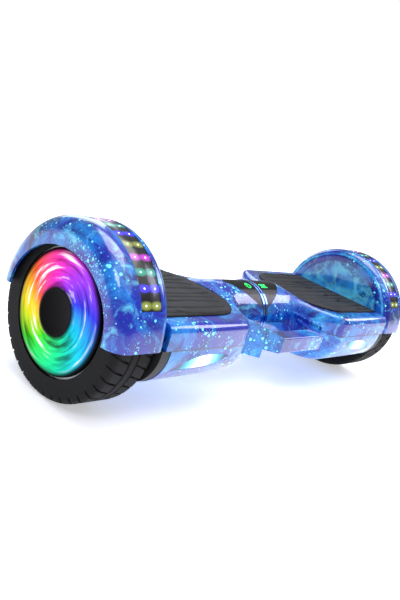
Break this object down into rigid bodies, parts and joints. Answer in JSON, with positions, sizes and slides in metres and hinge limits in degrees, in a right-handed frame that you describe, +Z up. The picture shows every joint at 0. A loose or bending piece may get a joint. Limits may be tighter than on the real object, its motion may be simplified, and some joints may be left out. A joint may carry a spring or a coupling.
{
  "type": "self balancing hoverboard",
  "caption": "Two-wheel self balancing board: two foot halves that twist on a central pivot, hub-motor wheels under lit fenders, rubber foot mats, headlights and a front carry handle.",
  "frame": {"origin": "on the floor, midway between the two wheels and below their axle line", "axes": "+X along the board to its right-hand wheel, -Y is the front, +Z up"},
  "size_m": [0.58, 0.1891, 0.1755],
  "materials": {
    "galaxy_shell": "film-printed gloss",
    "black_plastic": "moulded satin",
    "mat_rubber": "moulded",
    "circuit_board": "lacquered board",
    "window_gloss": "gloss",
    "light_lens": "clear",
    "cast_alloy": "cast",
    "steel": "turned",
    "stator_iron": "wound laminations",
    "rim_alloy": "cast and painted",
    "tyre_rubber": "moulded",
    "hub_lens": "clear",
    "bright_trim": "plated",
    "battery_wrap": "shrink wrap",
    "heat_sink": "anodised"
  },
  "bodies": {
    "left_half": {"left_upper_shell": "galaxy_shell", "left_lower_shell": "galaxy_shell", "left_well_liner": "black_plastic", "left_pedal_board": "circuit_board", "left_display_window": "window_gloss", "left_fender_board": "circuit_board", "left_fender_lens": "light_lens", "left_headlight_lens": "light_lens", "left_headlight_housing": "black_plastic", "left_chassis": "cast_alloy", "left_axle_clamp": "cast_alloy", "left_half_screws": "steel", "left_axle": "steel", "left_stator": "stator_iron", "left_waist_ring": "bright_trim", "left_gyro_board": "circuit_board", "waist_seal": "mat_rubber", "pivot_tube": "steel", "main_board": "heat_sink", "speaker": "black_plastic", "pivot_clip": "steel"},
    "right_half": {"right_upper_shell": "galaxy_shell", "right_lower_shell": "galaxy_shell", "right_well_liner": "black_plastic", "right_pedal_board": "circuit_board", "right_display_window": "window_gloss", "right_fender_board": "circuit_board", "right_fender_lens": "light_lens", "right_headlight_lens": "light_lens", "right_headlight_housing": "black_plastic", "right_chassis": "cast_alloy", "right_axle_clamp": "cast_alloy", "right_half_screws": "steel", "right_axle": "steel", "right_stator": "stator_iron", "right_waist_ring": "bright_trim", "right_gyro_board": "circuit_board", "pivot_bushes": "black_plastic", "battery_pack": "battery_wrap", "io_panel": "black_plastic", "charge_socket": "bright_trim", "cap_pin": "steel", "power_switch": "black_plastic", "carry_handle": "galaxy_shell", "handle_screws": "steel"},
    "left_wheel": {"left_motor_rim": "rim_alloy", "left_motor_bearings": "steel", "left_tyre": "tyre_rubber", "left_hub_light_board": "circuit_board", "left_hub_cover": "hub_lens"},
    "right_wheel": {"right_motor_rim": "rim_alloy", "right_motor_bearings": "steel", "right_tyre": "tyre_rubber", "right_hub_light_board": "circuit_board", "right_hub_cover": "hub_lens"},
    "left_pedal": {"left_foot_mat": "mat_rubber"},
    "right_pedal": {"right_foot_mat": "mat_rubber"},
    "power_button": {"power_button": "bright_trim"},
    "charge_cap": {"charge_cap": "mat_rubber"}
  },
  "joints": [
    {"name": "waist_twist", "type": "hinge", "parent": "left_half", "child": "right_half", "pos_m": [0, 0, 0.085], "axis": [1, 0, 0], "range_deg": [-10, 10]},
    {"name": "left_wheel_spin", "type": "hinge", "parent": "left_half", "child": "left_wheel", "pos_m": [-0.257, 0, 0.085], "axis": [1, 0, 0], "continuous": true},
    {"name": "right_wheel_spin", "type": "hinge", "parent": "right_half", "child": "right_wheel", "pos_m": [0.257, 0, 0.085], "axis": [1, 0, 0], "continuous": true},
    {"name": "left_pedal_press", "type": "slide", "parent": "left_half", "child": "left_pedal", "axis": [0, 0, -1], "range_m": [0, 0.001], "stiffness_N_per_m": 4000, "springref_m": -0.0005},
    {"name": "right_pedal_press", "type": "slide", "parent": "right_half", "child": "right_pedal", "axis": [0, 0, -1], "range_m": [0, 0.001], "stiffness_N_per_m": 4000, "springref_m": -0.0005},
    {"name": "power_button_press", "type": "slide", "parent": "right_half", "child": "power_button", "axis": [0, -1, 0], "range_m": [0, 0.001], "stiffness_N_per_m": 800, "springref_m": -0.0005},
    {"name": "charge_cap_hinge", "type": "hinge", "parent": "right_half", "child": "charge_cap", "pos_m": [0.13, 0.0909, 0.0766], "axis": [1, 0, 0], "range_deg": [0, 100]}
  ]
}
